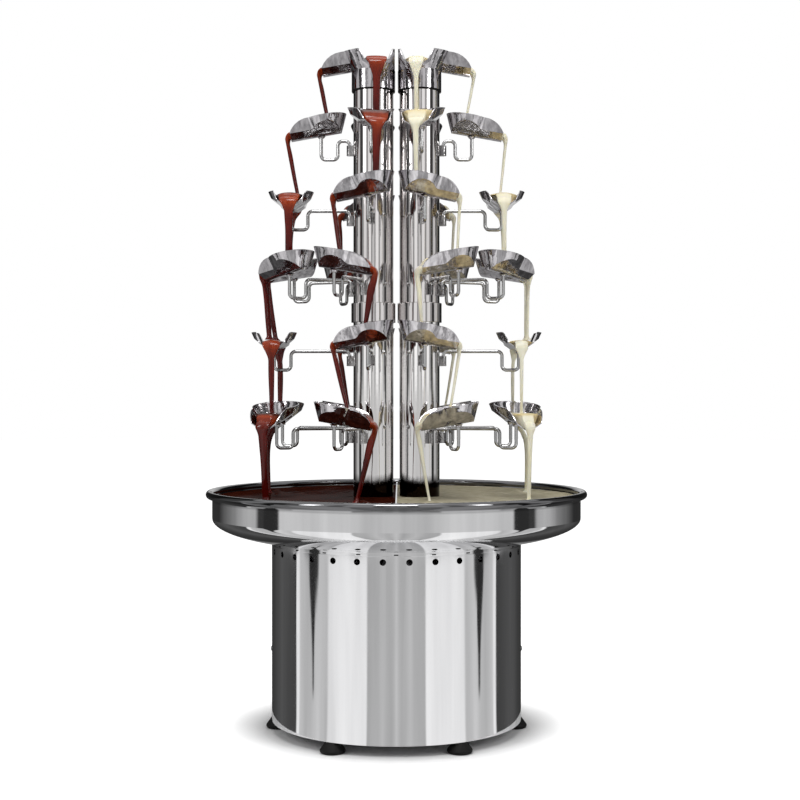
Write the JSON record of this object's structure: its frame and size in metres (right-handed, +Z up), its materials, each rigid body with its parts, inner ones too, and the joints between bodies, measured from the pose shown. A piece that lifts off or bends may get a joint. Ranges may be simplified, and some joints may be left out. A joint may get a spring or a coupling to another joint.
{
  "type": "chocolate fountain",
  "caption": "Free-standing chocolate fountain: paired screw towers with tiers of pouring dishes on bent rod arms, a divided catch bowl and a vented drum base on levelling feet.",
  "frame": {"origin": "on the ground under the middle of the base, at the bottom of the feet", "axes": "+Z up, -Y towards the front that the picture shows, +X to the viewer's right"},
  "size_m": [0.567, 0.567, 1.0073],
  "materials": {
    "polished_steel": "mirror polished stainless sheet and rod",
    "plain_steel": "plain mill finish",
    "cast_housing": "cast, satin",
    "black_rubber": "matt",
    "black_plastic": "fine moulded grain",
    "red_lens": "clear red lens",
    "seal_plastic": "food grade, matt"
  },
  "bodies": {
    "machine": {"base_drum": "polished_steel", "base_floor": "plain_steel", "foot_bushes": "plain_steel", "side_screws": "polished_steel", "motor_deck": "plain_steel", "deck_posts": "plain_steel", "deck_screws": "plain_steel", "gearbox_left": "cast_housing", "gearbox_right": "cast_housing", "motor_left": "plain_steel", "motor_right": "plain_steel", "heater_left": "cast_housing", "heater_right": "cast_housing", "thermostats": "black_plastic", "control_tray": "polished_steel", "switch_housings": "black_plastic", "pilot_lamps": "red_lens", "power_inlet": "black_plastic", "seat_ring": "polished_steel", "bowl": "polished_steel", "bowl_divider": "polished_steel", "shaft_seals": "seal_plastic", "tube_base_left": "polished_steel", "tube_base_right": "polished_steel", "lower_tube_left": "polished_steel", "lower_tube_right": "polished_steel", "joint_collar_left": "polished_steel", "joint_collar_right": "polished_steel", "upper_tube_left": "polished_steel", "upper_tube_right": "polished_steel", "dishes_left_1": "polished_steel", "dishes_left_2": "polished_steel", "dishes_left_3": "polished_steel", "dishes_left_4": "polished_steel", "dishes_left_5": "polished_steel", "dishes_right_1": "polished_steel", "dishes_right_2": "polished_steel", "dishes_right_3": "polished_steel", "dishes_right_4": "polished_steel", "dishes_right_5": "polished_steel", "arms_left": "polished_steel", "arms_right": "polished_steel", "arm_sockets_left": "polished_steel", "arm_sockets_right": "polished_steel"},
    "auger_left": {"auger_left": "plain_steel", "drive_shaft_left": "plain_steel"},
    "crown_left": {"crown_left": "polished_steel"},
    "heat_knob_left": {"heat_knob_left": "black_plastic"},
    "rocker_left": {"rocker_left": "black_plastic"},
    "auger_right": {"auger_right": "plain_steel", "drive_shaft_right": "plain_steel"},
    "crown_right": {"crown_right": "polished_steel"},
    "heat_knob_right": {"heat_knob_right": "black_plastic"},
    "rocker_right": {"rocker_right": "black_plastic"},
    "foot_1": {"foot_1": "black_rubber"},
    "foot_2": {"foot_2": "black_rubber"},
    "foot_3": {"foot_3": "black_rubber"},
    "foot_4": {"foot_4": "black_rubber"},
    "foot_5": {"foot_5": "black_rubber"},
    "foot_6": {"foot_6": "black_rubber"}
  },
  "joints": [
    {"name": "auger_left_spin", "type": "hinge", "parent": "machine", "child": "auger_left", "pos_m": [-0.0346, 0, 0.27529], "axis": [0, 0, 1], "continuous": true},
    {"name": "crown_left_lift", "type": "slide", "parent": "machine", "child": "crown_left", "axis": [0, 0, 1], "range_m": [0, 0.05]},
    {"name": "heat_knob_left_turn", "type": "hinge", "parent": "machine", "child": "heat_knob_left", "pos_m": [-0.06, 0.16478, 0.1245], "axis": [0, 1, 0], "range_deg": [-135, 135]},
    {"name": "rocker_left_rock", "type": "hinge", "parent": "machine", "child": "rocker_left", "pos_m": [-0.03, 0.16078, 0.1245], "axis": [1, 0, 0], "range_deg": [-22, 0]},
    {"name": "auger_right_spin", "type": "hinge", "parent": "machine", "child": "auger_right", "pos_m": [0.0346, 0, 0.27529], "axis": [0, 0, 1], "continuous": true},
    {"name": "crown_right_lift", "type": "slide", "parent": "machine", "child": "crown_right", "axis": [0, 0, 1], "range_m": [0, 0.05]},
    {"name": "heat_knob_right_turn", "type": "hinge", "parent": "machine", "child": "heat_knob_right", "pos_m": [0.06, 0.16478, 0.1245], "axis": [0, 1, 0], "range_deg": [-135, 135]},
    {"name": "rocker_right_rock", "type": "hinge", "parent": "machine", "child": "rocker_right", "pos_m": [0.03, 0.16078, 0.1245], "axis": [1, 0, 0], "range_deg": [-22, 0]},
    {"name": "foot_1_level", "type": "slide", "parent": "machine", "child": "foot_1", "axis": [0, 0, -1], "range_m": [0, 0.01]},
    {"name": "foot_2_level", "type": "slide", "parent": "machine", "child": "foot_2", "axis": [0, 0, -1], "range_m": [0, 0.01]},
    {"name": "foot_3_level", "type": "slide", "parent": "machine", "child": "foot_3", "axis": [0, 0, -1], "range_m": [0, 0.01]},
    {"name": "foot_4_level", "type": "slide", "parent": "machine", "child": "foot_4", "axis": [0, 0, -1], "range_m": [0, 0.01]},
    {"name": "foot_5_level", "type": "slide", "parent": "machine", "child": "foot_5", "axis": [0, 0, -1], "range_m": [0, 0.01]},
    {"name": "foot_6_level", "type": "slide", "parent": "machine", "child": "foot_6", "axis": [0, 0, -1], "range_m": [0, 0.01]}
  ]
}
